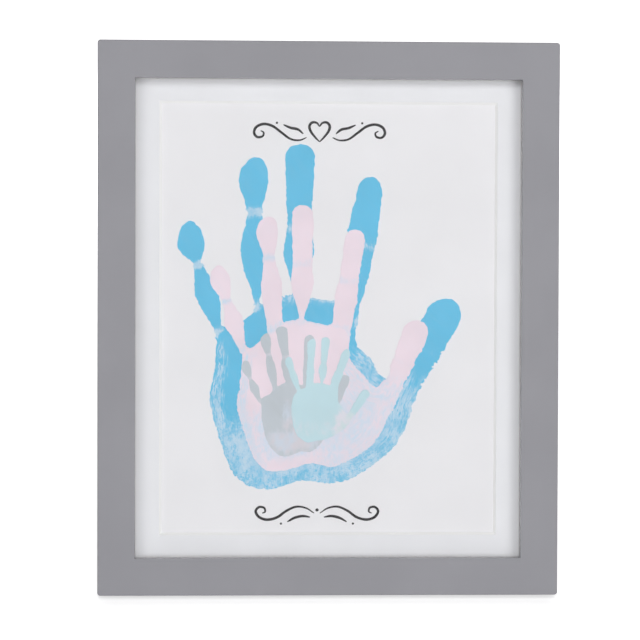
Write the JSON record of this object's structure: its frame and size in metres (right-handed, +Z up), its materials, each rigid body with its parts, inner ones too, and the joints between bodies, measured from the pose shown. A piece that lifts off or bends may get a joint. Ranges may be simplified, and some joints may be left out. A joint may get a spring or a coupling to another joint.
{
  "type": "handprint picture frame",
  "caption": "Grey portrait picture frame with a window mat around nested painted family handprints, glazed, backed with turn buttons, a fold-out easel leg and a sawtooth hanger.",
  "frame": {"origin": "on the table, under the middle of the box round the standing frame", "axes": "+X across to the viewer's right, +Y to the back, +Z up; the frame leans back 15 degrees on its open leg"},
  "size_m": [0.254, 0.1152, 0.2982],
  "materials": {
    "frame_paint": "satin grey paint on fibreboard",
    "glass": "clear",
    "mat": "matt white with a cream core",
    "paper": "matt white",
    "paint_blue": "matt paint film",
    "paint_pink": "matt paint film",
    "paint_grey": "matt paint film",
    "paint_mint": "matt paint film",
    "cardboard": "raw",
    "black_board": "black paper over fibreboard",
    "steel": "zinc plated",
    "button_steel": "zinc plated",
    "screw_steel": "zinc plated",
    "rubber": "soft matt"
  },
  "bodies": {
    "frame": {"top_rail": "frame_paint", "bottom_rail": "frame_paint", "left_rail": "frame_paint", "right_rail": "frame_paint", "corner_v_nails": "steel", "glass_pane": "glass", "mat_board": "mat", "print_sheet": "paper", "large_handprint": "paint_blue", "medium_handprint": "paint_pink", "small_handprint": "paint_grey", "baby_handprint": "paint_mint", "filler_board": "cardboard", "back_panel": "black_board", "turn_button_screws": "screw_steel", "sawtooth_hanger": "steel", "hanger_nails": "steel", "wall_bumpers": "rubber", "hinge_panel_leaf": "steel", "hinge_pin": "steel", "panel_rivets": "steel"},
    "leg": {"easel_leg": "black_board", "hinge_leg_leaf": "steel", "leg_rivets": "steel"},
    "button_left_upper": {"turn_button_left_upper": "button_steel"},
    "button_left_lower": {"turn_button_left_lower": "button_steel"},
    "button_right_upper": {"turn_button_right_upper": "button_steel"},
    "button_right_lower": {"turn_button_right_lower": "button_steel"},
    "button_top_left": {"turn_button_top_left": "button_steel"},
    "button_top_right": {"turn_button_top_right": "button_steel"},
    "button_bottom_left": {"turn_button_bottom_left": "button_steel"},
    "button_bottom_right": {"turn_button_bottom_right": "button_steel"}
  },
  "joints": [
    {"name": "easel_fold", "type": "hinge", "parent": "frame", "child": "leg", "pos_m": [0, 0.00935, 0.18765], "axis": [1, 0, 0], "range_deg": [-29, 0]},
    {"name": "button_turn_left_upper", "type": "hinge", "parent": "frame", "child": "button_left_upper", "pos_m": [-0.1206, 0.01578, 0.21957], "axis": [0, 0.9659, -0.2588], "continuous": true},
    {"name": "button_turn_left_lower", "type": "hinge", "parent": "frame", "child": "button_left_lower", "pos_m": [-0.1206, -0.02304, 0.07469], "axis": [0, 0.9659, -0.2588], "continuous": true},
    {"name": "button_turn_right_upper", "type": "hinge", "parent": "frame", "child": "button_right_upper", "pos_m": [0.1206, 0.01578, 0.21957], "axis": [0, 0.9659, -0.2588], "continuous": true},
    {"name": "button_turn_right_lower", "type": "hinge", "parent": "frame", "child": "button_right_lower", "pos_m": [0.1206, -0.02304, 0.07469], "axis": [0, 0.9659, -0.2588], "continuous": true},
    {"name": "button_turn_top_left", "type": "hinge", "parent": "frame", "child": "button_top_left", "pos_m": [-0.07, 0.03418, 0.28825], "axis": [0, 0.9659, -0.2588], "continuous": true},
    {"name": "button_turn_top_right", "type": "hinge", "parent": "frame", "child": "button_top_right", "pos_m": [0.07, 0.03418, 0.28825], "axis": [0, 0.9659, -0.2588], "continuous": true},
    {"name": "button_turn_bottom_left", "type": "hinge", "parent": "frame", "child": "button_bottom_left", "pos_m": [-0.07, -0.04145, 0.00601], "axis": [0, 0.9659, -0.2588], "range_deg": [-90, 90]},
    {"name": "button_turn_bottom_right", "type": "hinge", "parent": "frame", "child": "button_bottom_right", "pos_m": [0.07, -0.04145, 0.00601], "axis": [0, 0.9659, -0.2588], "range_deg": [-90, 90]}
  ]
}
